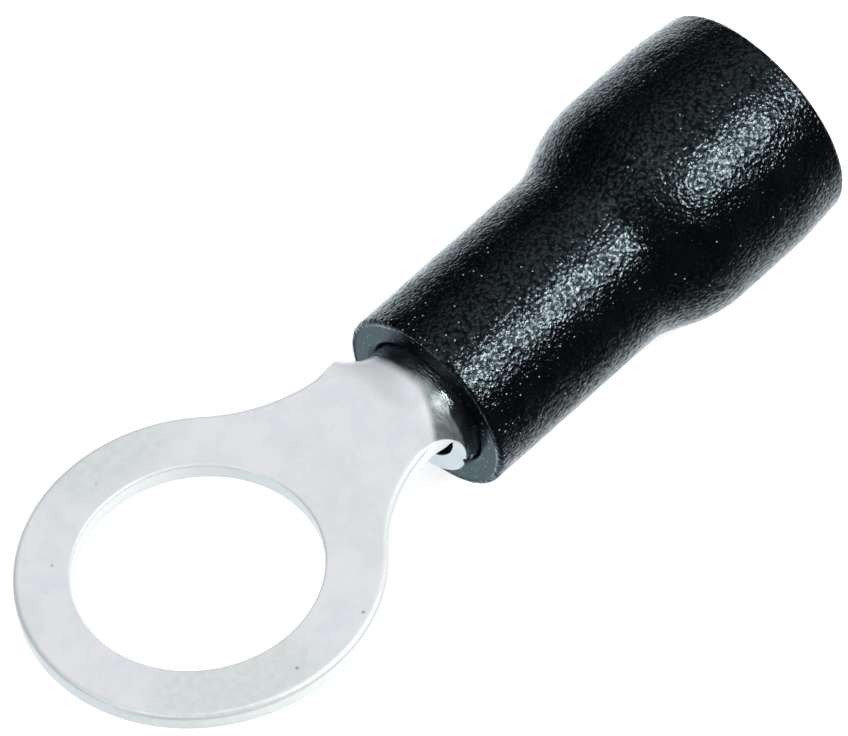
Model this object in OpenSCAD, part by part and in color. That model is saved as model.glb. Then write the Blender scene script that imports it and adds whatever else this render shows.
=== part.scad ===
// Insulated ring terminal: a stamped and rolled sheet-metal terminal with a
// stud ring, a tongue and a wire barrel, in a moulded sleeve with a wide entry.
// The part stands as a stud holds it, with its ring level. Its origin is the
// middle of the stud hole, on the underside of the ring, +Z runs up the stud
// and +X runs from the ring to the wire entry.

/* [Ring] */
// Diameter of the stud hole
stud_hole_d = 8.4; // [7:0.1:9]
// Outer diameter of the ring
ring_od = 12.5; // [11.5:0.1:14]
// How far the stud hole sits off the ring's middle, towards the free end
hole_set = 0.12; // [0:0.02:0.4]
// Thickness of the sheet
sheet_t = 0.65; // [0.5:0.05:0.9]
// Radius of the rolled upper edge that blanking leaves round the outline
edge_roll = 0.2; // [0.05:0.01:0.3]
// Radius of the rolled upper edge that piercing leaves round the stud hole
hole_roll = 0.1; // [0.03:0.01:0.2]

/* [Tongue] */
// Width of the tongue at its narrowest
tongue_w = 4.84; // [4:0.02:5.2]
// Radius of the hollow that joins the tongue to the ring
neck_r = 6; // [4.5:0.1:7]
// Distance from the ring's middle to where the sheet starts to bend
tongue_l = 8.4; // [8:0.05:8.8]

/* [Barrel] */
// Outer diameter of the wire barrel
barrel_od = 4.8; // [4.4:0.05:5.4]
// Length of the wire barrel
barrel_l = 7.5; // [6:0.1:9]
// How far the barrel's top stands above the tongue's top
barrel_rise = 0.57; // [0.3:0.01:0.8]
// Length over which the flat sheet bends up and round to the barrel
ramp_l = 1.55; // [1.3:0.05:2.2]
// How late along that length the sheet rolls round: 1 is evenly
bend_lag = 1.4; // [1:0.05:1.8]
// Gap of the butted seam along the underside
seam_gap = 0.06; // [0.02:0.01:0.2]
// Number of gripping grooves in the barrel
groove_count = 3; // [1:1:4]
// Width of a gripping groove
groove_w = 0.5; // [0.3:0.05:0.7]
// Depth of a gripping groove
groove_depth = 0.18; // [0.16:0.01:0.25]

/* [Sleeve] */
// Length of the sleeve
sleeve_l = 16; // [15.5:0.1:19]
// Bare barrel in front of the sleeve
barrel_bare = 0.55; // [0.2:0.05:1]
// Outer diameter of the sleeve over the barrel
grip_od = 6.95; // [6.6:0.05:7.4]
// Outer diameter of the sleeve at its wire entry
entry_od = 8.65; // [8.4:0.05:9.2]
// Outer diameter of the sleeve's rear rim
rim_od = 8.3; // [8:0.05:8.4]
// Bore of the wire entry
entry_bore_d = 6.7; // [6:0.05:7]
// Bore of the throat that leads the strands into the barrel
throat_d = 4; // [3.9:0.05:4.3]
// Length of the sleeve's straight front part
grip_l = 8.1; // [7.5:0.1:8.5]
// Slope of the flare, in degrees
flare_angle = 22; // [16:1:30]
// Radius where the flare leaves the front part
flare_foot_r = 2.5; // [1:0.1:4]
// Radius of the shoulder at the top of the flare
shoulder_r = 5; // [2:0.1:6]
// Length of the rear end that draws in towards the rim
draw_in_l = 1.9; // [1.2:0.1:2.5]
// Radial clearance between the barrel and the sleeve
fit_gap = 0.02; // [0.01:0.01:0.08]

/* [Hidden] */
$fn = 96;

// how far a cutter runs past the face it opens, and a filler into what it joins
over = 1;
lap = 0.2;

ring_r = ring_od / 2;
hole_r = stud_hole_d / 2;

// the neck: a hollow arc on each side, tangent to the ring
neck_y = tongue_w / 2 + neck_r;
neck_x = hole_set + sqrt(pow(ring_r + neck_r, 2) - pow(neck_y, 2));
tangent_share = ring_r / (ring_r + neck_r);
tangent_x = hole_set + (neck_x - hole_set) * tangent_share;
tangent_y = neck_y * tangent_share;
bend_x = hole_set + tongue_l;
bend_half_w = neck_y - sqrt(pow(neck_r, 2) - pow(bend_x - neck_x, 2));

// the barrel: its axis runs along X below the tongue
barrel_r = barrel_od / 2;
bore_r = barrel_r - sheet_t;
axis_z = sheet_t + barrel_rise - barrel_r;
barrel_x = bend_x + ramp_l;
barrel_end_x = barrel_x + barrel_l;
barrel_entry_chamfer = 0.2;
groove_pitch = barrel_l / (groove_count + 1);

// the bend is set this far inside the sheet's faces, and runs this far into
// the tongue and the barrel, so that its ends are buried in them
bury_in = 0.01;
bury_l = 0.3;
bend_steps = 20;
across_steps = 24;

// the nick that the rolling left in the barrel's front edge
nick_angle = 108;
nick_w = 0.24;
nick_l = 0.5;

// the sleeve: distances along its axis from its front face
sleeve_x = barrel_x + barrel_bare;
grip_r = grip_od / 2;
entry_r = entry_od / 2;
rim_r = rim_od / 2;
seat_end_gap = 0.1;
seat_l = barrel_l - barrel_bare + seat_end_gap;
throat_l = 0.6;
flare_l = (entry_r - grip_r) / tan(flare_angle);
shoulder_at = grip_l + flare_l;
draw_in_at = sleeve_l - draw_in_l;
draw_in_angle = atan((entry_r - rim_r) / draw_in_l);
draw_in_r = 6;
funnel_angle = 26;
funnel_l = (entry_bore_d - throat_d) / 2 / tan(funnel_angle);
front_edge_r = 0.15;
rim_edge_r = 0.2;
bore_chamfer = 0.15;

// The sliver outside a rounded corner whose sides run to -X and -Y.
module corner_sliver(r) {
    difference() {
        translate([-r, -r]) square(r + over);
        translate([-r, -r]) circle(r);
        translate([-r - over, -r]) square([over, r + over]);
        translate([-r, -r - over]) square([r + over, over]);
    }
}

// Turns a section round the barrel's axis, starting at x: the section's X is
// the distance from the axis, and its Y runs along it.
module along_axis(x) {
    translate([x, 0, axis_z]) rotate([0, 90, 0]) rotate_extrude() children();
}

// The ring's section, with rolled upper edges at its outline and its hole.
module ring_section() {
    difference() {
        square([ring_r, sheet_t]);
        translate([ring_r, sheet_t]) corner_sliver(edge_roll);
    }
}

// What the blanking tool leaves out on one side of the neck.
module neck_cutter() {
    rotate_extrude() {
        translate([0, -over]) square([neck_r, sheet_t + 2 * over]);
        difference() {
            translate([0, sheet_t - edge_roll]) square([neck_r + edge_roll, edge_roll + over]);
            translate([neck_r + edge_roll, sheet_t - edge_roll]) circle(edge_roll);
        }
    }
}

// The stud hole with its rolled upper edge.
module stud_hole_cutter() {
    rotate_extrude() {
        translate([0, -over]) square([hole_r, sheet_t + 2 * over]);
        difference() {
            translate([0, sheet_t - hole_roll]) square([hole_r + hole_roll, hole_roll + over]);
            translate([hole_r + hole_roll, sheet_t - hole_roll]) circle(hole_roll);
        }
    }
}

// Ring and tongue: the flat part of the sheet.
module flat_blank() {
    difference() {
        union() {
            translate([hole_set, 0, 0]) rotate_extrude() ring_section();
            linear_extrude(sheet_t) polygon([
                [hole_set, 0],
                [tangent_x, tangent_y],
                [bend_x, tangent_y],
                [bend_x, -tangent_y],
                [tangent_x, -tangent_y]
            ]);
        }
        for (side = [-1, 1]) translate([neck_x, side * neck_y, 0]) neck_cutter();
        stud_hole_cutter();
    }
}

// How far the sheet has gone from flat, 0, to barrel, 1, at a place along X.
function bend_share(x) =
    let (
        along = min(1, max(0, (x - bend_x) / ramp_l)),
        u = pow(along, bend_lag)
    )
    u * u * (3 - 2 * u);

// A point of the bend's section at x: way is the place across it, from -1 to
// 1, width its half width along the sheet, and depth how far below its top.
function bend_point(x, way, width, depth) =
    let (
        share = max(bend_share(x), 0.0001),
        r = barrel_r / share,
        turn = way * width / r * 180 / PI,
        top = sheet_t + barrel_rise * bend_share(x)
    )
    [x, (r - depth) * sin(turn), top - r + (r - depth) * cos(turn)];

// Places along the bend, each with the sheet's half width there: an arc as
// long as the ramp leads from the tongue's side to the barrel's front edge.
bend_stations = [
    [bend_x - bury_l, bend_half_w - edge_roll],
    for (i = [0:bend_steps])
        let (a = 90 * i / bend_steps)
        [bend_x + ramp_l * sin(a), bend_half_w + ramp_l * (1 - cos(a))],
    [barrel_x + bury_l, bend_half_w + ramp_l]
];

// The sheet between the tongue and the barrel: flat at one end, rolled down
// to the barrel's radius at the other, with its top rising to the barrel's.
module bend() {
    rows = len(bend_stations);
    loop = 2 * (across_steps + 1);
    points = [
        for (s = bend_stations)
            for (j = [0:loop - 1])
                let (
                    upper = j <= across_steps,
                    step = upper ? j : loop - 1 - j,
                    depth = upper ? bury_in : sheet_t - bury_in
                )
                bend_point(s[0], 2 * step / across_steps - 1, s[1] - bury_in, depth)
    ];
    sides = [
        for (i = [0:rows - 2])
            for (j = [0:loop - 1])
                let (k = (j + 1) % loop)
                each [
                    [i * loop + j, i * loop + k, (i + 1) * loop + k],
                    [i * loop + j, (i + 1) * loop + k, (i + 1) * loop + j]
                ]
    ];
    ends = [
        for (j = [0:across_steps - 1])
            for (base = [0, (rows - 1) * loop])
                let (
                    a = base + j,
                    b = base + j + 1,
                    c = base + loop - 2 - j,
                    d = base + loop - 1 - j,
                    first = base == 0
                )
                each (first ? [[a, c, b], [a, d, c]] : [[a, b, c], [a, c, d]])
    ];
    polyhedron(points, concat(sides, ends), convexity = 6);
}

// The gripping grooves round the inside of the barrel.
module grooves() {
    for (i = [1:groove_count])
        along_axis(barrel_x + i * groove_pitch - groove_w / 2)
            square([bore_r + groove_depth, groove_w]);
}

// The wire barrel, with its bore, its seam and the nick in its front edge.
module barrel() {
    difference() {
        along_axis(barrel_x) translate([bore_r, 0]) square([sheet_t, barrel_l]);
        grooves();
        along_axis(barrel_end_x) polygon([
            [0, -barrel_entry_chamfer],
            [bore_r, -barrel_entry_chamfer],
            [bore_r + barrel_entry_chamfer, 0],
            [bore_r + barrel_entry_chamfer, over],
            [0, over]
        ]);
        translate([barrel_x - over, -seam_gap / 2, axis_z - barrel_r - over])
            cube([barrel_l + 2 * over, seam_gap, barrel_r + over]);
        translate([barrel_x, 0, axis_z]) rotate([nick_angle, 0, 0])
            translate([-nick_l / 2, 0, barrel_r]) rotate([45, 0, 0])
                cube([nick_l, nick_w, nick_w], center = true);
    }
}

module terminal() {
    color([0.84, 0.85, 0.88]) {
        flat_blank();
        bend();
        barrel();
    }
}

// The sliver between a corner of the sleeve's outline and the arc that rounds
// it. The outline leans by from_angle before the corner and by to_angle after.
module rounding(at, radius, from_angle, to_angle) {
    way = sign(from_angle - to_angle);
    setback = radius * tan(abs(from_angle - to_angle) / 2);
    before = at - setback * [sin(from_angle), cos(from_angle)];
    after = at + setback * [sin(to_angle), cos(to_angle)];
    difference() {
        polygon([before, after, at + [way * lap, 0]]);
        translate(before - way * radius * [cos(from_angle), -sin(from_angle)]) circle(radius);
    }
}

// The sleeve's section: radius across, distance from its front face upwards.
module sleeve_section() {
    foot = [grip_r, grip_l];
    shoulder = [entry_r, shoulder_at];
    draw_in = [entry_r, draw_in_at];
    rim = [rim_r, sleeve_l];
    difference() {
        union() {
            polygon([[0, 0], [grip_r, 0], foot, shoulder, draw_in, rim, [0, sleeve_l]]);
            rounding(foot, flare_foot_r, 0, flare_angle);
        }
        rounding(shoulder, shoulder_r, flare_angle, 0);
        rounding(draw_in, draw_in_r, 0, -draw_in_angle);
        translate([grip_r, 0]) mirror([0, 1]) corner_sliver(front_edge_r);
        translate(rim) corner_sliver(rim_edge_r);
        sleeve_bores();
    }
}

// The hollow of the sleeve: seat for the barrel, throat, funnel and entry.
module sleeve_bores() {
    seat_r = barrel_r + fit_gap;
    throat_end = seat_l + throat_l;
    funnel_end = throat_end + funnel_l;
    entry_bore_r = entry_bore_d / 2;
    polygon([
        [0, -over],
        [seat_r + bore_chamfer + over, -over],
        [seat_r, bore_chamfer],
        [seat_r, seat_l],
        [throat_d / 2, seat_l],
        [throat_d / 2, throat_end],
        [entry_bore_r, funnel_end],
        [entry_bore_r, sleeve_l - bore_chamfer],
        [entry_bore_r + bore_chamfer + over, sleeve_l + over],
        [0, sleeve_l + over]
    ]);
}

module insulating_sleeve() {
    color([0.08, 0.08, 0.09]) along_axis(sleeve_x) sleeve_section();
}

terminal();
insulating_sleeve();
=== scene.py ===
"""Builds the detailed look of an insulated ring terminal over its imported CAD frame.

The terminal is one piece of sheet: its flat blank is cut out first, with rolled
edges, and a node tree then rolls the blank from flat ring to round barrel. The
sleeve is a moulded tube, turned from its section by a second node tree.
"""

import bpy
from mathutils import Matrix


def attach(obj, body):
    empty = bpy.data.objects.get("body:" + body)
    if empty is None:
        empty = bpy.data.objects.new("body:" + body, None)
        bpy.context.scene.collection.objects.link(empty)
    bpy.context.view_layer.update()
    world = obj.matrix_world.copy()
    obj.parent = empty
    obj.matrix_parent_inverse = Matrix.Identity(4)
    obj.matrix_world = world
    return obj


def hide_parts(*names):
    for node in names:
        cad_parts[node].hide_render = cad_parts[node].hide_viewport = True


bl_info = {
    "name": "Insulated Ring Terminal",
    "version": (1, 0, 0),
    "blender": (4, 5, 0),
    "location": "View3D > Sidebar > Ring Terminal",
    "description": "Builds a stamped ring terminal, its moulded sleeve and a plain studio",
    "category": "Add Mesh",
}

import math

import bpy
import numpy as np
from bpy.props import (
    FloatProperty,
    FloatVectorProperty,
    IntProperty,
    PointerProperty,
)
from bpy.types import Operator, Panel, PropertyGroup
from mathutils import Matrix, Vector
from mathutils.geometry import delaunay_2d_cdt

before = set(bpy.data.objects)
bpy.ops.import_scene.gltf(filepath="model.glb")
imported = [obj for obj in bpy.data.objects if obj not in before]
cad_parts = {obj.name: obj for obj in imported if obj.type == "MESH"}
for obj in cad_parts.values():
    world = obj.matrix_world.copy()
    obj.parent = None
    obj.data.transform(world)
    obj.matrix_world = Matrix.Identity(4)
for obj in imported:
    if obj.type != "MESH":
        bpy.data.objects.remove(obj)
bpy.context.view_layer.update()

MM = 0.001
RIGHT_ANGLE = math.pi / 2
WHITE = (1.0, 1.0, 1.0, 1.0)


# --- Settings -----------------------------------------------------------------


def length(name, description, mm):
    """A size that is kept in metres and given here in millimetres."""
    return FloatProperty(
        name=name, description=description, default=mm * MM, min=0.0, unit="LENGTH", precision=5
    )


def tint(name, description, default):
    """A colour, as the shaders take it."""
    return FloatVectorProperty(
        name=name,
        description=description,
        subtype="COLOR",
        size=3,
        default=default,
        min=0.0,
        max=1.0,
    )


def power(name, description, default):
    """A number from nothing upwards."""
    return FloatProperty(name=name, description=description, default=default, min=0.0)


def share(name, description, default, most=1.0):
    """A plain factor."""
    return FloatProperty(
        name=name, description=description, default=default, min=0.0, max=most, subtype="FACTOR"
    )


class SheetSettings(PropertyGroup):
    """Sizes of the stamped and rolled sheet."""

    hole_d: length("Stud hole", "Diameter of the stud hole", 8.4)
    ring_d: length("Ring", "Outer diameter of the ring", 12.5)
    hole_set: length("Hole set", "How far the hole sits from the ring's middle", 0.12)
    sheet_t: length("Sheet", "Thickness of the sheet", 0.65)
    edge_roll: length("Edge roll", "Radius of the rolled upper edge of the outline", 0.2)
    hole_roll: length("Hole roll", "Radius of the rolled upper edge of the hole", 0.1)
    tongue_w: length("Tongue width", "Width of the tongue at its narrowest", 4.84)
    neck_r: length("Neck radius", "Radius of the hollow beside the tongue", 6.0)
    tongue_l: length("Tongue length", "From the ring's middle to the start of the bend", 8.4)
    barrel_d: length("Barrel", "Outer diameter of the barrel", 4.8)
    barrel_l: length("Barrel length", "Length of the barrel", 7.5)
    barrel_rise: length("Barrel rise", "Height of the barrel's top over the tongue's", 0.57)
    ramp_l: length("Ramp length", "Length of the bend from tongue to barrel", 1.55)
    bend_lag: FloatProperty(
        name="Bend lag", description="How late the sheet rolls round", default=1.4, min=1.0, max=2.0
    )
    seam_gap: length("Seam gap", "Gap of the butted seam", 0.06)
    groove_count: IntProperty(
        name="Grooves", description="Number of gripping grooves", default=3, min=0, max=5
    )
    groove_w: length("Groove width", "Width of a gripping groove", 0.5)
    groove_depth: length("Groove depth", "Depth of a gripping groove", 0.18)


class SleeveSettings(PropertyGroup):
    """Sizes of the moulded sleeve."""

    length_all: length("Length", "Length of the sleeve", 16.0)
    barrel_bare: length("Bare barrel", "Barrel left bare in front of the sleeve", 0.55)
    grip_d: length("Grip", "Outer diameter over the barrel", 6.95)
    entry_d: length("Entry", "Outer diameter at the wire entry", 8.65)
    rim_d: length("Rim", "Outer diameter of the rear rim", 8.3)
    bore_d: length("Entry bore", "Bore of the wire entry", 6.7)
    throat_d: length("Throat", "Bore of the throat", 4.0)
    grip_l: length("Grip length", "Length of the straight front part", 8.1)
    flare: FloatProperty(
        name="Flare", description="Slope of the flare", default=math.radians(22.0), subtype="ANGLE"
    )
    foot_r: length("Foot radius", "Radius where the flare starts", 2.5)
    shoulder_r: length("Shoulder radius", "Radius where the flare ends", 5.0)
    draw_in_l: length("Draw-in length", "Length of the end that draws in", 1.9)
    fit_gap: length("Fit gap", "Clearance over the barrel", 0.02)
    ripple: length("Ripple", "Height of the moulded skin's slow ripple", 0.03)


class FinishSettings(PropertyGroup):
    """Colours and grain of the two materials."""

    tin: tint("Tin", "Colour of the tin plating", (0.93, 0.94, 0.97))
    tin_shade: tint("Tin shade", "Colour of its duller patches", (0.86, 0.88, 0.92))
    tin_stain: tint("Tin stain", "Colour of its faint stain", (0.77, 0.83, 0.81))
    # painted shade: this dark colour stands in for the barrel lip's shade by the sleeve and its
    # reflection of the black sleeve
    painted_lip_shade: tint("Worked tin", "Colour of the tin where it was rolled", (0.2, 0.24, 0.24))
    copper: tint("Copper", "Colour of the bare sheet in the nick", (0.62, 0.36, 0.22))
    tin_roughness: share("Tin roughness", "Roughness of the plating", 0.34)
    tin_gloss: share("Tin gloss", "How metallic the flat, unworked plating looks", 0.34)
    vinyl: tint("Vinyl", "Colour of the sleeve", (0.0014, 0.0015, 0.0017))
    vinyl_roughness: share("Vinyl roughness", "Roughness of the sleeve", 0.13)
    grain: length("Grain", "Size of the sleeve's leathery grain", 0.12)


class StageSettings(PropertyGroup):
    """Floor, lights and camera."""

    floor: tint("Floor", "Colour of the floor", (0.93, 0.93, 0.93))
    floor_lift: share("Floor lift", "Glow that keeps the floor white to the camera", 0.6)
    drop: length("Floor drop", "How far the floor lies below the ring's underside", 5.505)
    key: power("Key light", "Power of the key light", 1.2)
    top: power("Top light", "Power of the top light", 0.07)
    sky: power("Sky", "Strength of the even light", 0.7)
    lens: FloatProperty(name="Lens", description="Focal length in mm", default=808.78, min=1.0)


# --- Mesh helpers -------------------------------------------------------------


def new_object(name, vertices, faces, smooth=True):
    """A mesh object in the scene, from vertices in metres."""
    mesh = bpy.data.meshes.new(name)
    mesh.from_pydata([tuple(v) for v in vertices], [], [tuple(f) for f in faces])
    mesh.validate()
    if smooth:
        mesh.shade_smooth()
    thing = bpy.data.objects.new(name, mesh)
    bpy.context.scene.collection.objects.link(thing)
    return thing


def store(mesh, name, values):
    """Keeps one number per vertex as a named attribute."""
    layer = mesh.attributes.new(name, "FLOAT", "POINT")
    layer.data.foreach_set("value", np.asarray(values, np.float32))


def add_modifier(thing, tree, values):
    """Runs a node tree on the object, with its inputs set by their names."""
    modifier = thing.modifiers.new(tree.name, "NODES")
    modifier.node_group = tree
    sockets = {
        item.name: item.identifier
        for item in tree.interface.items_tree
        if item.item_type == "SOCKET" and item.in_out == "INPUT"
    }
    for name, value in values.items():
        modifier[sockets[name]] = value
    thing.update_tag()


def made_plain(thing, name):
    """The evaluated object as a plain mesh object that stands in its place."""
    bpy.context.view_layer.update()
    graph = bpy.context.evaluated_depsgraph_get()
    mesh = bpy.data.meshes.new_from_object(
        thing.evaluated_get(graph), preserve_all_data_layers=True, depsgraph=graph
    )
    mesh.name = name
    bpy.data.objects.remove(thing)
    plain = bpy.data.objects.new(name, mesh)
    bpy.context.scene.collection.objects.link(plain)
    return plain


def outward(thing):
    """Turns every face's normal outwards."""
    mesh = thing.data
    mesh.calc_loop_triangles()
    corners = np.zeros(len(mesh.vertices) * 3)
    mesh.vertices.foreach_get("co", corners)
    corners = corners.reshape(-1, 3)
    triangles = np.zeros(len(mesh.loop_triangles) * 3, int)
    mesh.loop_triangles.foreach_get("vertices", triangles)
    a, b, c = (corners[triangles.reshape(-1, 3)[:, i]] for i in range(3))
    if np.einsum("ij,ij->i", a, np.cross(b, c)).sum() < 0:
        mesh.flip_normals()


def dress(thing, node):
    """Ties a finished piece to the frame."""
    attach(thing, "root")
    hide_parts(node)


# --- Node helpers -------------------------------------------------------------


class Wiring:
    """Adds nodes to a tree and wires them, left to right."""

    def __init__(self, tree):
        self.tree = tree
        self.column = 0

    def add(self, kind, inputs=None, **settings):
        """One node. An input is a value, or the socket that feeds it."""
        node = self.tree.nodes.new(kind)
        node.location = (self.column * 180, -(self.column % 5) * 160)
        self.column += 1
        for name, value in settings.items():
            setattr(node, name, value)
        for key, value in (inputs or {}).items():
            if isinstance(value, bpy.types.NodeSocket):
                self.tree.links.new(value, node.inputs[key])
            else:
                node.inputs[key].default_value = value
        return node

    def attribute(self, name):
        """The number that the mesh keeps under a name."""
        return self.add("ShaderNodeAttribute", attribute_name=name).outputs["Fac"]

    def math(self, operation, *terms, clamp=False):
        """The result of one sum on numbers or sockets."""
        node = self.add("ShaderNodeMath", dict(enumerate(terms)), operation=operation)
        node.use_clamp = clamp
        return node.outputs[0]

    def plus(self, first, second):
        """The sum of two numbers or sockets."""
        return self.math("ADD", first, second)

    def times(self, first, second):
        """The product of two numbers or sockets."""
        return self.math("MULTIPLY", first, second)

    def split(self, place):
        """The X, Y and Z of a place, by their names."""
        return self.add("ShaderNodeSeparateXYZ", {0: place}).outputs

    def join(self, x, y, z):
        """A place from its three parts."""
        return self.add("ShaderNodeCombineXYZ", {"X": x, "Y": y, "Z": z}).outputs[0]

    def ramp(self, value, low, high, to_low=0.0, to_high=1.0, smooth=True):
        """A value's range spread over another, held at both ends."""
        return self.add(
            "ShaderNodeMapRange",
            {
                "Value": value,
                "From Min": low,
                "From Max": high,
                "To Min": to_low,
                "To Max": to_high,
            },
            interpolation_type="SMOOTHSTEP" if smooth else "LINEAR",
        ).outputs["Result"]

    def blend(self, factor, first, second):
        """A colour between two colours."""
        node = self.add("ShaderNodeMix", data_type="RGBA")
        for key, value in (("Factor", factor), ("A", first), ("B", second)):
            socket = next(s for s in node.inputs if s.name == key and s.enabled)
            if isinstance(value, bpy.types.NodeSocket):
                self.tree.links.new(value, socket)
            else:
                socket.default_value = value
        return next(s for s in node.outputs if s.enabled)

    def noise(self, place, scale, detail=2.0, roughness=0.5, output=0):
        """A cloudy value about 0.5, or its colour, scale times a unit of place."""
        return self.add(
            "ShaderNodeTexNoise",
            {"Vector": place, "Scale": scale, "Detail": detail, "Roughness": roughness},
        ).outputs[output]

    def cells(self, place, scale, feature="F1", output="Distance"):
        """The distance to, or the colour of, the nearest of many scattered points."""
        return self.add(
            "ShaderNodeTexVoronoi", {"Vector": place, "Scale": scale}, feature=feature
        ).outputs[output]

    def dots(self, place, scale, least, inner, outer):
        """1 in round dots at those scattered points whose lot lies above least."""
        kept = self.math("GREATER_THAN", self.cells(place, scale, output="Color"), least)
        return self.times(self.ramp(self.cells(place, scale), inner, outer, 1.0, 0.0), kept)

    def gap(self, place, point):
        """How far a place lies from a fixed point."""
        return self.add(
            "ShaderNodeVectorMath", {0: place, 1: point}, operation="DISTANCE"
        ).outputs["Value"]

    def bump(self, height, distance, strength, normal=None):
        """A bumped normal. Distance is the height of 1, in metres."""
        inputs = {"Height": height, "Distance": distance, "Strength": strength}
        if normal is not None:
            inputs["Normal"] = normal
        return self.add("ShaderNodeBump", inputs).outputs[0]


def new_tree(name, inputs):
    """A geometry tree with a geometry input and output and the named inputs."""
    tree = bpy.data.node_groups.new(name, "GeometryNodeTree")
    tree.interface.new_socket("Geometry", in_out="INPUT", socket_type="NodeSocketGeometry")
    tree.interface.new_socket("Geometry", in_out="OUTPUT", socket_type="NodeSocketGeometry")
    for label, kind, default in inputs:
        socket = tree.interface.new_socket(label, in_out="INPUT", socket_type=kind)
        if default is not None:
            socket.default_value = default
    return tree


def hand_out(w, geometry, material):
    """Ends a geometry tree with its painted result."""
    real = w.add("GeometryNodeRealizeInstances", {0: geometry}).outputs[0]
    painted = w.add("GeometryNodeSetMaterial", {"Geometry": real, "Material": material})
    w.add("NodeGroupOutput", {0: painted.outputs[0]})


# --- Materials ----------------------------------------------------------------


def new_material(name):
    """A material with an empty tree but for its shader and output."""
    material = bpy.data.materials.new(name)
    material.use_nodes = True
    tree = material.node_tree
    tree.nodes.clear()
    wiring = Wiring(tree)
    output = wiring.add("ShaderNodeOutputMaterial")
    shader = wiring.add("ShaderNodeBsdfPrincipled")
    tree.links.new(shader.outputs[0], output.inputs["Surface"])
    return material, wiring, shader


def place_in_mm(wiring, stretch=(1, 1, 1)):
    """The object's own coordinates, in millimetres."""
    place = wiring.add("ShaderNodeTexCoord").outputs["Object"]
    return wiring.add(
        "ShaderNodeMapping", {"Vector": place, "Scale": [s / MM for s in stretch]}
    ).outputs[0]


# How many features of the plating fit in a millimetre.
TIN_CLOUDS, TIN_PATCHES, TIN_PITS, TIN_GRIT = 1.1, 0.28, 0.75, 9.0
TIN_MOTTLE, PATCHY_SHADE = 3.2, 2.4
TIN_RELIEF = 0.012 * MM
PIT_COLOUR = (0.22, 0.2, 0.19)

# Where the ring is faintly stained: the place on it and the reach, in mm.
TIN_STAINS = (
    ((0.2, 5.8), 1.3),
    ((1.3, 5.4), 1.3),
    ((2.3, 5.1), 1.2),
    ((-3.6, -3.7), 1.9),
    ((-2.0, -4.9), 2.2),
)


def stain_and_edge_share(w, here, clouds, edges, top):
    """How much stain colour the plating takes: stains in patches and at chosen places, and a darker
    tint along the rolled edges and cut faces.
    """
    stain = w.ramp(w.noise(here, TIN_PATCHES), 0.5, 0.68, 0.0, 0.35)
    for place, reach in TIN_STAINS:
        gap = w.plus(w.gap(here, (*place, top / MM)), w.times(clouds, 1.6))
        stain = w.math("MAXIMUM", stain, w.ramp(gap, reach, reach + 1.2, 0.9, 0.0))
    mottle = w.noise(here, TIN_MOTTLE, detail=3.0)
    stain = w.times(stain, w.ramp(mottle, 0.35, 0.65, 0.45, 1.0))
    for edge, most in edges:
        stain = w.math("MAXIMUM", stain, w.times(edge, most))
    return stain


def tinned_metal(finish, nick, top):
    """Satin tin plating: soft mottling, rolling lines, pits, a bare nick and painted shade by the
    sleeve.
    """
    material, w, shader = new_material("tinned_copper")
    link = w.tree.links.new
    here = place_in_mm(w)
    names = ("cut_face", "rolled_edge", "burnish", "worked_and_shaded")
    cut, rolled, burnish, worked_and_shaded = (w.attribute(name) for name in names)
    uncut = w.ramp(cut, 0.0, 1.0, 1.0, 0.0)

    clouds = w.noise(here, TIN_CLOUDS, detail=4.0, roughness=0.6)
    pits = w.dots(here, TIN_PITS, 0.62, 0.03, 0.07)
    nicked = w.ramp(w.gap(here, [c / MM for c in nick]), 0.1, 0.3, 0.85, 0.0)
    # patches in the painted shade by the sleeve
    patchy_shade = w.ramp(w.noise(here, PATCHY_SHADE, detail=3.0), 0.35, 0.65, 0.8, 1.0)

    # duller patches, stain and darker edges, pits, the bare nick, and, on the worked
    # stretch, painted shade and a painted reflection of the black sleeve, in turn
    layers = (
        (w.ramp(clouds, 0.42, 0.66), finish.tin_shade),
        (stain_and_edge_share(w, here, clouds, ((rolled, 0.7), (cut, 0.55)), top), finish.tin_stain),
        (w.times(pits, 0.65), PIT_COLOUR),
        (w.times(nicked, w.ramp(clouds, 0.35, 0.6)), finish.copper),
        (w.times(w.times(worked_and_shaded, patchy_shade), uncut), finish.painted_lip_shade),
    )
    colour = (*finish.tin, 1.0)
    for amount, layer in layers:
        colour = w.blend(amount, colour, (*layer, 1.0))
    link(colour, shader.inputs["Base Color"])

    # mirror-like where it is burnished, dull where it is cut
    bright = w.times(burnish, uncut)
    gloss = w.ramp(w.math("MAXIMUM", worked_and_shaded, bright), 0.0, 1.0, finish.tin_gloss, 0.65)
    gloss = w.math("MAXIMUM", gloss, w.times(bright, 0.97))
    link(w.times(gloss, w.ramp(cut, 0.0, 1.0, 1.0, 0.25)), shader.inputs["Metallic"])

    middle = finish.tin_roughness
    roughness = w.ramp(clouds, 0.35, 0.7, middle - 0.05, middle + 0.08)
    for where, change in ((cut, 0.16), (rolled, -0.08), (worked_and_shaded, 0.15), (burnish, -0.32)):
        roughness = w.plus(roughness, w.times(where, change))
    link(roughness, shader.inputs["Roughness"])

    # lines of rolling along the sheet, shear marks down its cut edges and
    # scratches across the worked stretch
    lines = w.noise(place_in_mm(w, (0.35, 9.0, 9.0)), 1.0)
    shear = w.noise(place_in_mm(w, (11.0, 11.0, 0.6)), 1.0)
    drawn = w.noise(place_in_mm(w, (12.0, 3.0, 3.0)), 1.0, roughness=0.6)
    reliefs = (
        (w.noise(here, TIN_GRIT), 0.25),
        (lines, 0.12),
        (w.times(shear, cut), 0.8),
        (pits, -0.8),
        (w.times(drawn, worked_and_shaded), 1.8),
    )
    height = w.times(clouds, 1.2)
    for relief, depth in reliefs:
        height = w.plus(height, w.times(relief, depth))
    link(w.bump(height, TIN_RELIEF, 1.0), shader.inputs["Normal"])
    return material


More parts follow.
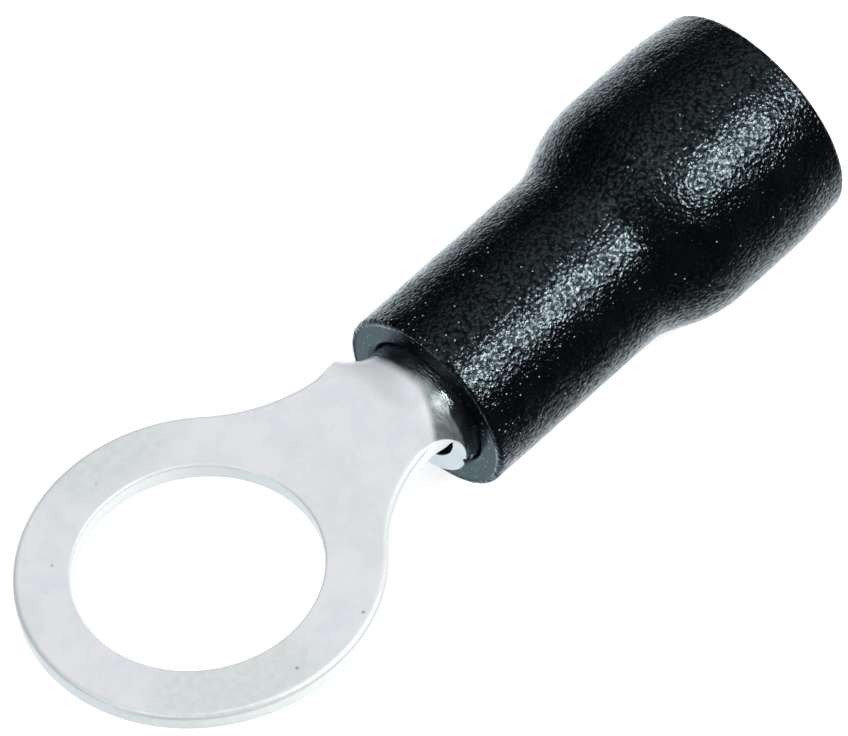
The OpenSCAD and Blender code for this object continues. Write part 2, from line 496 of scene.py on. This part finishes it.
VINYL_WAVES, VINYL_SPECKS = 0.9, 5.5  # to the millimetre
VINYL_WAVE_HEIGHT = 0.10 * MM
VINYL_CUT = (0.002, 0.0025, 0.003, 1.0)
VINYL_SHINE = (0.73, 0.93, 1.0, 1.0)
VINYL_IOR = 1.52
SPECK_COLOUR = (0.42, 0.44, 0.45, 1.0)
# From where to where the specks thin out, in mm, and the share of points without
# one before and after.
SPECKLESS = (10.6, 13.6, 0.55, 0.84)


def black_vinyl(finish):
    """Moulded black vinyl with a leathery grain, pale specks and a soft gloss."""
    material, w, shader = new_material("black_vinyl")
    link = w.tree.links.new
    here = place_in_mm(w)
    end = w.attribute("cut_end")
    skin = w.math("SUBTRACT", 1.0, end)
    grain_size = finish.grain / MM
    per_mm = 1 / grain_size

    # pebbles between wandering gaps, with finer and slower relief over them
    waves = w.noise(here, VINYL_WAVES)
    fine = w.noise(here, per_mm * 2.6)
    swirl = w.noise(here, per_mm * 0.9, output="Color")
    shifted = w.add(
        "ShaderNodeVectorMath",
        {0: swirl, 1: (grain_size,) * 3, 2: here},
        operation="MULTIPLY_ADD",
    ).outputs[0]
    gaps = w.cells(shifted, per_mm, feature="SMOOTH_F1")
    height = w.math("SUBTRACT", w.times(fine, 0.35), gaps)
    height = w.plus(height, w.noise(here, per_mm * 0.45, detail=1.0))
    height = w.times(height, w.ramp(skin, 0.0, 1.0, 0.1, 1.0))
    grain = w.bump(height, 0.2 * finish.grain, 1.0)
    slow = w.bump(w.times(waves, skin), VINYL_WAVE_HEIGHT, 0.6, normal=grain)
    link(slow, shader.inputs["Normal"])

    # pale specks, more of them towards the front end
    least = w.ramp(w.split(here)["X"], *SPECKLESS)
    specks = w.dots(here, VINYL_SPECKS, least, 0.1, 0.2)
    paler = (*[c * 1.7 for c in finish.vinyl], 1.0)
    colour = w.blend(w.ramp(waves, 0.4, 0.65), (*finish.vinyl, 1.0), paler)
    colour = w.blend(w.times(end, 0.8), colour, VINYL_CUT)
    colour = w.blend(w.times(specks, 0.9), colour, SPECK_COLOUR)
    link(colour, shader.inputs["Base Color"])

    # the tops of the pebbles are smoother and shine more than the gaps
    middle = finish.vinyl_roughness
    link(w.ramp(gaps, 0.2, 0.7, middle - 0.03, middle + 0.1), shader.inputs["Roughness"])
    tops = w.ramp(gaps, 0.25, 0.62, 0.95, 0.12)
    shine = w.plus(w.times(tops, skin), w.times(end, 0.5))
    link(shine, shader.inputs["Specular IOR Level"])
    shader.inputs["IOR"].default_value = VINYL_IOR
    shader.inputs["Specular Tint"].default_value = VINYL_SHINE
    return material


# --- The sheet ----------------------------------------------------------------


class Blank:
    """The flat blank of the terminal: x along it, s across it, in metres."""

    ring_points, neck_points, relief_points, hole_points = 76, 26, 30, 180
    step = 0.12 * MM  # of the net over the bend and the barrel
    coarse_step = 0.4 * MM  # of the net over the ring and the tongue
    burr = 0.03 * MM  # radius of the edges that aren't rolled
    support = 0.035 * MM  # width of the flat strip beside each edge
    margin = 0.09 * MM  # how clear of the edges the net stays
    roll_steps = 6
    burr_steps = 2
    entry_bevel = 0.2 * MM
    nick_turn = math.radians(108)
    nick_half = 0.17 * MM
    nick_reach = 0.25 * MM

    def __init__(self, size):
        self.size = size
        self.ring_r = size.ring_d / 2
        self.hole_r = size.hole_d / 2
        self.neck_y = size.tongue_w / 2 + size.neck_r
        reach = self.ring_r + size.neck_r
        self.neck_x = size.hole_set + math.sqrt(reach**2 - self.neck_y**2)
        self.bend_x = size.hole_set + size.tongue_l
        self.bend_w = self.neck_y - math.sqrt(size.neck_r**2 - (self.bend_x - self.neck_x) ** 2)
        self.barrel_x = self.bend_x + size.ramp_l
        self.end_x = self.barrel_x + size.barrel_l
        self.barrel_r = size.barrel_d / 2
        self.seam_s = math.pi * self.barrel_r - size.seam_gap / 2
        pitch = size.barrel_l / (size.groove_count + 1)
        self.grooves = [self.barrel_x + (i + 1) * pitch for i in range(size.groove_count)]
        self.axis_z = size.sheet_t + size.barrel_rise - self.barrel_r
        self.nick_s = self.nick_turn * self.barrel_r

    def outline(self):
        """The outline's points, the free end first, and each one's edge radius."""
        size = self.size
        start = math.atan2(self.neck_y, self.neck_x - size.hole_set)
        ring = [
            (size.hole_set + self.ring_r * math.cos(a), self.ring_r * math.sin(a))
            for a in np.linspace(math.pi, start, self.ring_points)
        ]
        finish = math.asin((self.bend_x - self.neck_x) / size.neck_r) - RIGHT_ANGLE
        neck = [
            (self.neck_x + size.neck_r * math.cos(a), self.neck_y + size.neck_r * math.sin(a))
            for a in np.linspace(start - math.pi, finish, self.neck_points)[1:]
        ]
        relief = [
            (self.bend_x + size.ramp_l * math.sin(a), self.bend_w + size.ramp_l * (1 - math.cos(a)))
            for a in np.linspace(0, RIGHT_ANGLE, self.relief_points)[1:]
        ]
        front = self.steps(relief[-1][1], self.seam_s, self.step)[1:]
        seam = self.steps(self.barrel_x, self.end_x, 2 * self.step)[1:]
        rear = self.steps(self.seam_s, 0.0, self.step)[1:]
        half = (
            ring
            + neck
            + relief
            + [(self.barrel_x, s) for s in front]
            + [(x, self.seam_s) for x in seam]
            + [(self.end_x, s) for s in rear]
        )
        points = np.array(half + [(x, -s) for x, s in half[-2:0:-1]])
        fade = np.clip((self.bend_x + 0.1 * MM - points[:, 0]) / (0.5 * MM), 0, 1)
        radii = self.burr + (size.edge_roll - self.burr) * fade * fade * (3 - 2 * fade)
        return points, radii

    @staticmethod
    def steps(first, last, step):
        """Even steps from first to last, no longer than step."""
        return np.linspace(first, last, max(2, math.ceil(abs(last - first) / step)) + 1)

    def hole(self, radius):
        """The stud hole's edge, run so that the sheet lies to its right."""
        turn = np.linspace(0, 2 * math.pi, self.hole_points + 1)[:-1]
        points = np.column_stack([self.hole_r * np.cos(turn), self.hole_r * np.sin(turn)])
        return points, np.full(len(points), radius)

    @staticmethod
    def inward(points):
        """The step inwards from each point of a closed line, mitred at corners."""
        before = points - np.roll(points, 1, axis=0)
        after = np.roll(points, -1, axis=0) - points
        normals = []
        for edge in (before, after):
            edge = edge / np.linalg.norm(edge, axis=1)[:, None]
            normals.append(np.column_stack([edge[:, 1], -edge[:, 0]]))
        both = normals[0] + normals[1]
        return both / (1 + (normals[0] * normals[1]).sum(1))[:, None]

    def grid(self):
        """Points inside the blank: a fine net over the bend and the barrel."""
        found = []
        fine_from = self.bend_x - 1.2 * MM
        columns = [
            *self.steps(-self.ring_r + self.size.hole_set, fine_from, self.coarse_step),
            *self.steps(self.bend_x - 1.1 * MM, self.barrel_x + 0.4 * MM, 0.75 * self.step),
            *self.steps(self.barrel_x + 0.5 * MM, self.end_x, 2 * self.step),
            self.end_x - self.entry_bevel,
        ]
        # two columns close together at each wall of a groove
        for middle in self.grooves:
            for wall in (middle - self.size.groove_w / 2, middle + self.size.groove_w / 2):
                columns += [wall - 0.005 * MM, wall + 0.005 * MM]
        for i, x in enumerate(sorted(columns)):
            gap = self.step if x > fine_from else self.coarse_step
            count = math.ceil(self.seam_s / gap)
            shift = gap / 2 if i % 2 else 0.0
            found += [(x, s * gap + shift) for s in range(-count, count + 1)]
        # the nick in the barrel's front edge
        for across in np.linspace(-self.nick_half, self.nick_half, 5):
            for along in (0.06 * MM, 0.14 * MM, 0.24 * MM):
                found.append((self.barrel_x + along, across - self.nick_s))
        return np.array(found)

    @staticmethod
    def inside(points, line):
        """Which points a closed line goes round."""
        found = np.zeros(len(points), bool)
        for a, b in zip(line, np.roll(line, -1, axis=0)):
            if a[1] != b[1]:
                crosses = (a[1] > points[:, 1]) != (b[1] > points[:, 1])
                at = a[0] + (points[:, 1] - a[1]) / (b[1] - a[1]) * (b[0] - a[0])
                found ^= crosses & (points[:, 0] < at)
        return found

    def clear(self, points, line, radii):
        """Which points keep clear of a line and of its rolled edge."""
        found = np.ones(len(points), bool)
        for a, b, radius in zip(line, np.roll(line, -1, axis=0), radii):
            edge = b - a
            along = np.clip(((points - a) @ edge) / (edge @ edge), 0, 1)
            gap = np.linalg.norm(points - a - along[:, None] * edge, axis=1)
            found &= gap > radius + self.margin
        return found

    def side(self, lower):
        """One side of the blank.

        Gives its places, their depths below its own face, its faces, and where
        the outermost row of each edge starts.
        """
        edges = [self.outline(), self.hole(self.burr if lower else self.size.hole_roll)]
        if lower:
            edges[0] = (edges[0][0], np.full(len(edges[0][0]), self.burr))
        count = self.burr_steps if lower else self.roll_steps
        turns = [i * RIGHT_ANGLE / count for i in range(count + 1)]
        places, depths, faces, starts, last = [], [], [], [], []
        first = 0
        for line, radii in edges:
            rows = [(radii * (1 - math.cos(a)), radii * (1 - math.sin(a))) for a in turns]
            rows.append((radii + self.support, 0 * radii))
            starts.append(first)
            size = len(line)
            for row, (inset, depth) in enumerate(rows):
                places.append(line + self.inward(line) * inset[:, None])
                depths.append(depth)
                if row:
                    for i in range(size):
                        a, b = first + i, first + (i + 1) % size
                        faces.append((a - size, a, b, b - size))
                first += size
            last.append((first - size, places[-1]))
        points = self.grid()
        kept = self.inside(points, edges[0][0])
        kept &= np.linalg.norm(points, axis=1) > self.hole_r
        for line, radii in edges:
            kept &= self.clear(points, line, radii)
        points = points[kept]
        faces += self.fill(last, points, first)
        places = np.vstack([*places, points])
        depths = np.concatenate([*depths, np.zeros(len(points))])
        return places, depths, faces, starts

    def fill(self, lines, points, first):
        """Triangles between two closed lines and the points within them."""
        places = np.vstack([line for _, line in lines] + [points])
        source, edges = [], []
        for start, line in lines:
            count, at = len(line), len(source)
            edges += [(at + i, at + (i + 1) % count) for i in range(count)]
            source += range(start, start + count)
        source += range(first, first + len(points))
        found = delaunay_2d_cdt([Vector(p / MM) for p in places], edges, [], 0, 1e-7, True)
        same = [ids[0] for ids in found[3]]
        triangles = np.array([[same[i] for i in triangle] for triangle in found[2]])
        middles = places[triangles].mean(axis=1)
        kept = self.inside(middles, lines[0][1]) & ~self.inside(middles, lines[1][1])
        return [tuple(source[i] for i in triangle) for triangle in triangles[kept]]

    def lower_height(self, places):
        """How high the lower face stands: grooves and the entry's bevel cut it."""
        height = np.zeros(len(places))
        x = places[:, 0]
        for middle in self.grooves:
            height[np.abs(x - middle) < self.size.groove_w / 2] = self.size.groove_depth
        return np.maximum(height, np.clip(x - (self.end_x - self.entry_bevel), 0, None))

    def nick_depth(self, places):
        """How deep the nick cuts into the barrel's front edge."""
        across = np.abs(places[:, 1] + self.nick_s)
        along = places[:, 0] - self.barrel_x
        deep = np.clip(self.nick_half - across, 0, None)
        return deep * (along < self.nick_reach) * (along > -0.01 * MM)

    def wear(self, vertices):
        """Where the sheet is burnished, and where working has dulled it and painted shade darkens
        it.

        Both begin just before the barrel. On the near half the burnish begins
        later, but earlier again round the curl, and the dull, shaded zone reaches out.
        The bare numbers are millimetres.
        """
        x, near = vertices[:, 0], np.clip(-vertices[:, 1] / MM, 0, None)
        later = 0.22 * np.clip(near / 0.8, 0, 1) - 0.2 * np.clip((near - 1.7) / 0.5, 0, 1)
        begins = self.barrel_x + (later - 0.15) * MM
        burnish = np.clip((x - begins) / (0.12 * MM), 0, 1)
        out = 0.3 + 0.45 * np.clip(near - 0.6, 0, None) ** 1.5
        worked_and_shaded = np.clip((x - self.barrel_x + out * MM) / (0.3 * MM), 0, 1)
        return burnish, worked_and_shaded

    def solid(self):
        """Vertices, faces and attributes of the closed flat blank."""
        up_place, up_depth, up_faces, up_starts = self.side(lower=False)
        low_place, low_depth, low_faces, low_starts = self.side(lower=True)
        up_depth = np.maximum(up_depth, self.nick_depth(up_place))
        low_depth = low_depth + self.lower_height(low_place)
        count = len(up_place)
        vertices = np.vstack(
            [
                np.column_stack([up_place, self.size.sheet_t - up_depth]),
                np.column_stack([low_place, low_depth]),
            ]
        )
        faces = up_faces + [tuple(count + i for i in reversed(face)) for face in low_faces]
        cut = np.zeros(len(vertices))
        sizes = len(self.outline()[0]), len(self.hole(self.burr)[0])
        for up, low, size in zip(up_starts, low_starts, sizes):
            cut[up : up + size] = 1
            cut[count + low : count + low + size] = 1
            for i in range(size):
                step = (i + 1) % size
                faces.append((up + i, up + step, count + low + step, count + low + i))
        rolled = np.zeros(len(vertices))
        rolled[:count] = np.clip(up_depth / (0.1 * MM), 0, 1) * (up_place[:, 0] < self.bend_x)
        burnish, worked_and_shaded = self.wear(vertices)
        values = {"cut_face": cut, "rolled_edge": rolled, "burnish": burnish, "worked_and_shaded": worked_and_shaded}
        return vertices, faces, values


def rolling_tree():
    """The tree that rolls a flat blank: its Y is the place across the sheet."""
    tree = new_tree(
        "Roll The Blank",
        [
            ("Bend Start", "NodeSocketFloat", 0.0),
            ("Ramp Length", "NodeSocketFloat", 0.001),
            ("Bend Lag", "NodeSocketFloat", 1.0),
            ("Barrel Radius", "NodeSocketFloat", 0.001),
            ("Barrel Rise", "NodeSocketFloat", 0.0),
            ("Sheet Thickness", "NodeSocketFloat", 0.001),
            ("Material", "NodeSocketMaterial", None),
        ],
    )
    w = Wiring(tree)
    given = w.add("NodeGroupInput").outputs
    place = w.split(w.add("GeometryNodeInputPosition").outputs[0])
    run = w.math("SUBTRACT", place["X"], given["Bend Start"])
    run = w.math("DIVIDE", run, given["Ramp Length"], clamp=True)
    rolled_share = w.ramp(w.math("POWER", run, given["Bend Lag"]), 0.0, 1.0)
    radius = w.math("DIVIDE", given["Barrel Radius"], w.math("MAXIMUM", rolled_share, 1e-5))
    turn = w.math("DIVIDE", place["Y"], radius)
    depth = w.math("SUBTRACT", given["Sheet Thickness"], place["Z"])
    top = w.plus(given["Sheet Thickness"], w.times(given["Barrel Rise"], rolled_share))
    across = w.times(w.math("SUBTRACT", radius, depth), w.math("SINE", turn))
    # radius * (1 - cos(turn)), in the form that keeps its precision when flat
    half_sine = w.math("SINE", w.times(turn, 0.5))
    drop = w.times(w.times(radius, 2.0), w.times(half_sine, half_sine))
    height = w.math("SUBTRACT", top, w.times(depth, w.math("COSINE", turn)))
    height = w.math("SUBTRACT", height, drop)
    rolled = w.join(place["X"], across, height)
    moved = w.add("GeometryNodeSetPosition", {"Geometry": given["Geometry"], "Position": rolled})
    hand_out(w, moved.outputs[0], given["Material"])
    return tree


class TERMINAL_OT_sheet(Operator):
    """Cut the terminal's flat blank and roll it from ring to barrel"""

    bl_idname = "terminal.make_sheet"
    bl_label = "Make Terminal"

    def execute(self, context):
        size = context.scene.terminal_sheet
        blank = Blank(size)
        vertices, faces, values = blank.solid()
        flat = new_object("flat_blank", vertices, faces)
        for name, value in values.items():
            store(flat.data, name, value)
        nick = (
            blank.barrel_x,
            -blank.barrel_r * math.sin(blank.nick_turn),
            blank.axis_z + blank.barrel_r * math.cos(blank.nick_turn),
        )
        metal = tinned_metal(context.scene.terminal_finish, nick, size.sheet_t)
        values = {
            "Bend Start": blank.bend_x,
            "Ramp Length": size.ramp_l,
            "Bend Lag": size.bend_lag,
            "Barrel Radius": blank.barrel_r,
            "Barrel Rise": size.barrel_rise,
            "Sheet Thickness": size.sheet_t,
            "Material": metal,
        }
        add_modifier(flat, rolling_tree(), values)
        weighted = flat.modifiers.new("Weighted Normals", "WEIGHTED_NORMAL")
        weighted.weight = 50
        sheet = made_plain(flat, "terminal_sheet")
        outward(sheet)
        dress(sheet, "terminal")
        return {"FINISHED"}


# --- The sleeve ---------------------------------------------------------------


def arc(centre, radius, first, last, count):
    """Points of an arc, with its angles from the first axis towards the second."""
    return [
        (centre[0] + radius * math.cos(a), centre[1] + radius * math.sin(a))
        for a in np.linspace(first, last, count)
    ]


def between(first, last, step):
    """Points of a straight run, with neither end."""
    count = max(1, math.ceil(math.dist(first, last) / step))
    return [
        tuple(np.array(first) + (np.array(last) - np.array(first)) * i / count)
        for i in range(1, count)
    ]


# Lengths and angles inside the sleeve, and how finely its section is stepped.
FUNNEL_SLOPE = math.radians(26)
SEAT_SPARE = 0.1 * MM
THROAT_RUN = 0.6 * MM
END_CHAMFER = 0.15 * MM
RIM_EDGE = 0.2 * MM
DRAW_IN_R = 6.0 * MM
SKIN_STEP, BORE_STEP, FACE_STEP = 0.11 * MM, 0.25 * MM, 0.12 * MM
STEPS_ROUND = 256
RIPPLE_SIZE = 1.3 * MM
RIPPLE_SEED = 4.0


def sleeve_section(sleeve, sheet):
    """The sleeve's closed section, as (along, radius), and which of it is outer skin."""
    grip, entry, rim = sleeve.grip_d / 2, sleeve.entry_d / 2, sleeve.rim_d / 2
    seat = sheet.barrel_d / 2 + sleeve.fit_gap
    throat, bore = sleeve.throat_d / 2, sleeve.bore_d / 2
    whole = sleeve.length_all
    flare, foot_r, shoulder_r = sleeve.flare, sleeve.foot_r, sleeve.shoulder_r
    shoulder_at = sleeve.grip_l + (entry - grip) / math.tan(flare)
    draw_in_at = whole - sleeve.draw_in_l
    draw_in = math.atan((entry - rim) / sleeve.draw_in_l)
    seat_l = sheet.barrel_l - sleeve.barrel_bare + SEAT_SPARE
    throat_l = seat_l + THROAT_RUN
    funnel_l = throat_l + (bore - throat) / math.tan(FUNNEL_SLOPE)
    foot, shoulder = foot_r * math.tan(flare / 2), shoulder_r * math.tan(flare / 2)
    draw = DRAW_IN_R * math.tan(draw_in / 2)
    up = RIGHT_ANGLE
    corners = [
        arc((END_CHAMFER, grip - END_CHAMFER), END_CHAMFER, math.pi, up, 8),
        arc((sleeve.grip_l - foot, grip + foot_r), foot_r, -up, flare - up, 14),
        arc((shoulder_at + shoulder, entry - shoulder_r), shoulder_r, up + flare, up, 20),
        arc((draw_in_at - draw, entry - DRAW_IN_R), DRAW_IN_R, up, up - draw_in, 8),
        arc((whole - RIM_EDGE, rim - RIM_EDGE), RIM_EDGE, up - draw_in, 0.0, 8),
    ]
    inner = [
        (whole, bore + END_CHAMFER),
        (whole - END_CHAMFER, bore),
        (funnel_l, bore),
        (throat_l, throat),
        (seat_l, throat),
        (seat_l, seat),
        (END_CHAMFER, seat),
        (0.0, seat + END_CHAMFER),
    ]
    lines = [(corner, SKIN_STEP, 1.0) for corner in corners]
    lines += [([corner], BORE_STEP, 0.0) for corner in inner]
    points, skin = [], []
    for line, step, kind in lines:
        run = between(points[-1], line[0], step) if points else []
        points += [*run, *line]
        skin += [kind] * (len(run) + len(line))
    run = between(points[-1], points[0], FACE_STEP)
    return np.array([*points, *run]), np.array(skin + [0.0] * len(run))


def turning_tree():
    """The tree that turns a section, a ring of vertices, round the X axis."""
    tree = new_tree(
        "Turn The Section",
        [
            ("Points", "NodeSocketInt", 3),
            ("Steps Round", "NodeSocketInt", 32),
            ("Front", "NodeSocketFloat", 0.0),
            ("Axis Height", "NodeSocketFloat", 0.0),
            ("Ripple", "NodeSocketFloat", 0.0),
            ("Ripple Size", "NodeSocketFloat", 0.002),
            ("Seed", "NodeSocketFloat", 4.0),
            ("Material", "NodeSocketMaterial", None),
        ],
    )
    w = Wiring(tree)
    given = w.add("NodeGroupInput").outputs
    rows = w.plus(given["Points"], 1.0)
    columns = w.plus(given["Steps Round"], 1.0)
    net = w.add(
        "GeometryNodeMeshGrid",
        {
            "Size X": given["Points"],
            "Size Y": given["Steps Round"],
            "Vertices X": rows,
            "Vertices Y": columns,
        },
    )
    spot = w.add("GeometryNodeInputPosition").outputs[0]
    place = w.split(spot)
    row = w.plus(place["X"], w.times(given["Points"], 0.5))
    row = w.math("MODULO", w.math("ROUND", row), given["Points"])
    step = w.plus(place["Y"], w.times(given["Steps Round"], 0.5))
    turn = w.times(w.math("DIVIDE", step, given["Steps Round"]), 2 * math.pi)

    # the section's point at this row, and whether it is outer skin
    skin = w.add("GeometryNodeInputNamedAttribute", {"Name": "skin"}, data_type="FLOAT")
    sampled = [
        w.add(
            "GeometryNodeSampleIndex",
            {"Geometry": given["Geometry"], "Index": row, "Value": value},
            data_type=kind,
            domain="POINT",
        ).outputs[0]
        for kind, value in (("FLOAT_VECTOR", spot), ("FLOAT", skin.outputs[0]))
    ]
    point, outer = w.split(sampled[0]), sampled[1]

    # a slow ripple in the skin, the same for both ends of a turn
    round_y, round_z = w.math("SINE", turn), w.math("COSINE", turn)
    parts = (point["X"], w.times(point["Y"], round_y), w.times(point["Y"], round_z))
    place = w.join(*(w.math("DIVIDE", part, given["Ripple Size"]) for part in parts))
    wave = w.add(
        "ShaderNodeTexNoise",
        {"Vector": place, "W": given["Seed"], "Scale": 1.0, "Detail": 3.0},
        noise_dimensions="4D",
    ).outputs[0]
    wave = w.times(w.ramp(wave, 0.2, 0.8, -1.0, 0.0, smooth=False), given["Ripple"])
    radius = w.plus(point["Y"], w.times(wave, outer))
    turned = w.join(
        w.plus(point["X"], given["Front"]),
        w.times(radius, round_y),
        w.plus(w.times(radius, round_z), given["Axis Height"]),
    )
    end = w.math("SUBTRACT", 1.0, outer)
    kept = w.add(
        "GeometryNodeStoreNamedAttribute",
        {"Geometry": net.outputs["Mesh"], "Name": "cut_end", "Value": end},
        data_type="FLOAT",
        domain="POINT",
    )
    moved = w.add("GeometryNodeSetPosition", {"Geometry": kept.outputs[0], "Position": turned})
    closed = w.add("GeometryNodeMergeByDistance", {"Geometry": moved.outputs[0], "Distance": 1e-7})
    smooth = w.add("GeometryNodeSetShadeSmooth", {"Geometry": closed.outputs[0]})
    hand_out(w, smooth.outputs[0], given["Material"])
    return tree


class TERMINAL_OT_sleeve(Operator):
    """Turn the moulded sleeve from its section"""

    bl_idname = "terminal.make_sleeve"
    bl_label = "Make Sleeve"

    def execute(self, context):
        scene = context.scene
        sleeve, sheet = scene.terminal_sleeve, scene.terminal_sheet
        blank = Blank(sheet)
        section, skin = sleeve_section(sleeve, sheet)
        ring = new_object(
            "sleeve_section", np.column_stack([section, np.zeros(len(section))]), [], smooth=False
        )
        store(ring.data, "skin", skin)
        values = {
            "Points": len(section),
            "Steps Round": STEPS_ROUND,
            "Front": blank.barrel_x + sleeve.barrel_bare,
            "Axis Height": blank.axis_z,
            "Ripple": sleeve.ripple,
            "Ripple Size": RIPPLE_SIZE,
            "Seed": RIPPLE_SEED,
            "Material": black_vinyl(scene.terminal_finish),
        }
        add_modifier(ring, turning_tree(), values)
        tube = made_plain(ring, "moulded_sleeve")
        outward(tube)
        dress(tube, "insulating_sleeve")
        return {"FINISHED"}


# --- The stage ----------------------------------------------------------------


STUDIO_TINT = (0.88, 0.96, 1.0)
STUDIO_FAR_SIDE = (0.15, 0.15, 0.15, 1.0)
STUDIO_FAR_END = (2.4, 2.4, 2.4, 1.0)
STUDIO_FAR_FLOOR = (0.48, 0.58, 0.63, 1.0)

# What the studio shows in reflections, by the angle round the barrel's axis:
# 0 is straight up, 90 level behind the part and -90 level in front of it.
STUDIO_RING = (
    (-180, 1.25),
    (-165, 0.85),
    (-150, 0.32),
    (-130, 0.06),
    (-105, 0.02),
    (-60, 0.02),
    (-30, 0.2),
    (-8, 0.4),
    (12, 0.3),
    (30, 0.26),
    (44, 0.01),
    (66, 0.01),
    (86, 0.16),
    (100, 1.05),
    (130, 1.9),
    (180, 1.25),
)


def floor_material(colour, lift):
    """A plain pale floor, white to the camera where nothing shades it."""
    material, w, shader = new_material("pale_floor")
    shader.inputs["Base Color"].default_value = (*colour, 1.0)
    shader.inputs["Roughness"].default_value = 0.9
    shader.inputs["Specular IOR Level"].default_value = 0.0
    shader.inputs["Emission Color"].default_value = WHITE
    seen = w.add("ShaderNodeLightPath").outputs["Is Camera Ray"]
    w.tree.links.new(w.times(seen, lift), shader.inputs["Emission Strength"])
    return material


def studio_world(sky):
    """A white studio: even light, white to the camera, banded in reflections."""
    world = bpy.data.worlds.new("studio")
    world.use_nodes = True
    world.node_tree.nodes.clear()
    w = Wiring(world.node_tree)
    output = w.add("ShaderNodeOutputWorld")
    way = w.add("ShaderNodeTexCoord").outputs["Generated"]
    way = w.split(way)
    angle = w.math("ARCTAN2", way["Y"], way["Z"])
    turn = w.ramp(angle, -math.pi, math.pi, smooth=False)
    bands = w.add("ShaderNodeValToRGB", {0: turn})
    stops = bands.color_ramp.elements
    bands.color_ramp.interpolation = "EASE"
    while len(stops) < len(STUDIO_RING):
        stops.new(0.5)
    for stop, (degrees, value) in zip(stops, STUDIO_RING):
        stop.position = (degrees + 180) / 360
        stop.color = (*[value * part for part in STUDIO_TINT], 1.0)
    # beyond the ring the studio has a dark side, then a bright end, and a pale floor
    far = w.blend(w.ramp(way["X"], -0.56, -0.44), STUDIO_FAR_END, STUDIO_FAR_SIDE)
    far = w.blend(w.ramp(way["Z"], -0.2, 0.2), STUDIO_FAR_FLOOR, far)
    far = w.blend(w.ramp(way["X"], -0.3, 0.15), far, WHITE)
    mirrored = w.add(
        "ShaderNodeVectorMath", {0: bands.outputs[0], 1: far}, operation="MULTIPLY"
    ).outputs[0]
    rays = w.add("ShaderNodeLightPath").outputs
    strength = w.blend(rays["Is Glossy Ray"], (sky, sky, sky, 1.0), mirrored)
    strength = w.blend(rays["Is Camera Ray"], strength, WHITE)
    back = w.add("ShaderNodeBackground", {"Color": strength, "Strength": 1.0})
    world.node_tree.links.new(back.outputs[0], output.inputs["Surface"])
    return world


# Each light's turn about the barrel's axis, its distance, place along and size.
KEY_LIGHT = (math.radians(-45), 0.37, 0.17, (0.17, 0.13))
TOP_LIGHT = (math.radians(-5), 0.45, 0.01, (0.16, 0.14))

FLOOR_HALF = 1.5
CAMERA_PLACE = (-0.234216, -0.301173, 0.498382)
CAMERA_RIGHT = (0.68996, -0.71763, -0.09460)
CAMERA_BACK = (-0.38809, -0.47707, 0.78854)


def strip_light(name, angle, distance, along, size, watts):
    """A soft light that lies along the barrel's axis, turned about it from above."""
    lamp = bpy.data.lights.new(name, "AREA")
    lamp.shape = "RECTANGLE"
    lamp.size, lamp.size_y = size
    lamp.energy = watts
    thing = bpy.data.objects.new(name, lamp)
    bpy.context.scene.collection.objects.link(thing)
    turn = Matrix.Rotation(-angle, 4, "X")
    thing.matrix_world = turn @ Matrix.Translation((along, 0.0, distance))


class TERMINAL_OT_stage(Operator):
    """Lay the floor and set the lights and the camera"""

    bl_idname = "terminal.make_stage"
    bl_label = "Make Stage"

    def execute(self, context):
        scene = context.scene
        stage = scene.terminal_stage
        half = FLOOR_HALF
        signs = ((-1, -1), (1, -1), (1, 1), (-1, 1))
        corners = [(x * half, y * half, -stage.drop) for x, y in signs]
        floor = new_object("floor", corners, [(0, 1, 2, 3)], smooth=False)
        floor.data.materials.append(floor_material(stage.floor, stage.floor_lift))
        floor.visible_glossy = False

        scene.world = studio_world(stage.sky)
        strip_light("key_light", *KEY_LIGHT, stage.key)
        strip_light("top_light", *TOP_LIGHT, stage.top)

        camera = bpy.data.cameras.new("camera")
        camera.lens = stage.lens
        camera.sensor_width = 36.0
        camera.clip_start, camera.clip_end = 0.05, 10.0
        holder = bpy.data.objects.new("camera", camera)
        scene.collection.objects.link(holder)
        right, back = Vector(CAMERA_RIGHT), Vector(CAMERA_BACK)
        turn = Matrix((right, back.cross(right), back)).transposed().to_4x4()
        turn.translation = Vector(CAMERA_PLACE)
        holder.matrix_world = turn
        scene.camera = holder

        scene.view_settings.view_transform = "Standard"
        return {"FINISHED"}


# --- The add-on ---------------------------------------------------------------


class TERMINAL_PT_panel(Panel):
    """Lists the steps that build the terminal"""

    bl_idname = "TERMINAL_PT_panel"
    bl_label = "Ring Terminal"
    bl_space_type = "VIEW_3D"
    bl_region_type = "UI"
    bl_category = "Ring Terminal"

    def draw(self, context):
        layout = self.layout
        for step, group in (
            (TERMINAL_OT_sheet, "terminal_sheet"),
            (TERMINAL_OT_sleeve, "terminal_sleeve"),
            (None, "terminal_finish"),
            (TERMINAL_OT_stage, "terminal_stage"),
        ):
            box = layout.box()
            settings = getattr(context.scene, group)
            for name in settings.__annotations__:
                box.prop(settings, name)
            if step:
                box.operator(step.bl_idname)


CLASSES = (
    SheetSettings,
    SleeveSettings,
    FinishSettings,
    StageSettings,
    TERMINAL_OT_sheet,
    TERMINAL_OT_sleeve,
    TERMINAL_OT_stage,
    TERMINAL_PT_panel,
)

SETTINGS = {
    "terminal_sheet": SheetSettings,
    "terminal_sleeve": SleeveSettings,
    "terminal_finish": FinishSettings,
    "terminal_stage": StageSettings,
}


def register():
    """Registers the classes and hangs the settings on the scene."""
    for item in CLASSES:
        bpy.utils.register_class(item)
    for name, group in SETTINGS.items():
        setattr(bpy.types.Scene, name, PointerProperty(type=group))


def unregister():
    """Undoes what register did."""
    for name in SETTINGS:
        delattr(bpy.types.Scene, name)
    for item in reversed(CLASSES):
        bpy.utils.unregister_class(item)


def main():
    register()
    bpy.ops.terminal.make_sheet()
    bpy.ops.terminal.make_sleeve()
    bpy.ops.terminal.make_stage()


if __name__ == "__main__":
    main()
